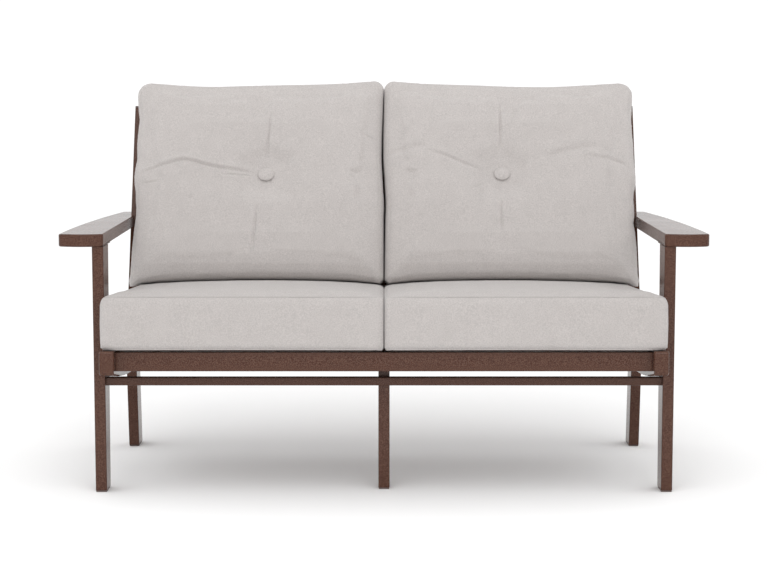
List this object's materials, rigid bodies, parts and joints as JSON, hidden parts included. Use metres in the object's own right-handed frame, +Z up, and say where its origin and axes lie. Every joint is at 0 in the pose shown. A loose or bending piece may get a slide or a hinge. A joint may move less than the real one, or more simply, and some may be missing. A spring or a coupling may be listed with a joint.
{
  "type": "garden loveseat",
  "caption": "Low two-seat outdoor loveseat: metal frame with wide flat arms, raked back posts, loose boxed seat cushions and button-tufted back cushions.",
  "frame": {"origin": "on the ground under the middle of the loveseat's bounding box", "axes": "+X to the sitter-facing viewer's right along the width, +Y to the rear, +Z up"},
  "size_m": [1.4874, 0.9006, 0.9461],
  "materials": {
    "powder_coated_frame": "dark brown powder coat with a fine pebbled texture",
    "cushion_fabric": "warm light grey woven outdoor cloth",
    "button_fabric": "the same cloth, drawn over a button",
    "foot_plastic": "dark brown moulded plastic",
    "fastener_steel": "plain stainless steel"
  },
  "bodies": {
    "frame": {"arm_bolts": "fastener_steel", "arm_screws": "fastener_steel", "back_bottom_rail": "powder_coated_frame", "back_slat_01": "powder_coated_frame", "back_slat_02": "powder_coated_frame", "back_slat_03": "powder_coated_frame", "back_slat_04": "powder_coated_frame", "back_slat_05": "powder_coated_frame", "back_slat_06": "powder_coated_frame", "back_slat_07": "powder_coated_frame", "back_slat_08": "powder_coated_frame", "back_slat_09": "powder_coated_frame", "back_slat_10": "powder_coated_frame", "back_slat_11": "powder_coated_frame", "back_top_rail": "powder_coated_frame", "centre_beam": "powder_coated_frame", "centre_glide": "foot_plastic", "centre_leg": "powder_coated_frame", "front_rail": "powder_coated_frame", "front_stretcher": "powder_coated_frame", "left_arm": "powder_coated_frame", "left_arm_plate": "powder_coated_frame", "left_front_glide": "foot_plastic", "left_front_leg": "powder_coated_frame", "left_post_cap": "foot_plastic", "left_rear_glide": "foot_plastic", "left_rear_post": "powder_coated_frame", "left_side_rail": "powder_coated_frame", "left_side_rail_plug": "foot_plastic", "rear_rail": "powder_coated_frame", "right_arm": "powder_coated_frame", "right_arm_plate": "powder_coated_frame", "right_front_glide": "foot_plastic", "right_front_leg": "powder_coated_frame", "right_post_cap": "foot_plastic", "right_rear_glide": "foot_plastic", "right_rear_post": "powder_coated_frame", "right_side_rail": "powder_coated_frame", "right_side_rail_plug": "foot_plastic", "seat_slat_1": "powder_coated_frame", "seat_slat_2": "powder_coated_frame", "seat_slat_3": "powder_coated_frame", "seat_slat_4": "powder_coated_frame", "seat_slat_5": "powder_coated_frame", "seat_slat_6": "powder_coated_frame"},
    "left_seat": {"left_seat_cushion": "cushion_fabric"},
    "right_seat": {"right_seat_cushion": "cushion_fabric"},
    "left_back": {"left_back_cushion": "cushion_fabric", "left_front_button": "button_fabric", "left_rear_button": "button_fabric"},
    "right_back": {"right_back_cushion": "cushion_fabric", "right_front_button": "button_fabric", "right_rear_button": "button_fabric"}
  },
  "joints": [
    {"name": "left_seat_lift_out", "type": "slide", "parent": "frame", "child": "left_seat", "axis": [0, -0.9984, 0.0558], "range_m": [0, 0.65]},
    {"name": "right_seat_lift_out", "type": "slide", "parent": "frame", "child": "right_seat", "axis": [0, -0.9984, 0.0558], "range_m": [0, 0.65]},
    {"name": "left_back_lift_off", "type": "slide", "parent": "frame", "child": "left_back", "axis": [0, 0.3633, 0.9317], "range_m": [0, 0.55]},
    {"name": "right_back_lift_off", "type": "slide", "parent": "frame", "child": "right_back", "axis": [0, 0.3633, 0.9317], "range_m": [0, 0.55]}
  ]
}
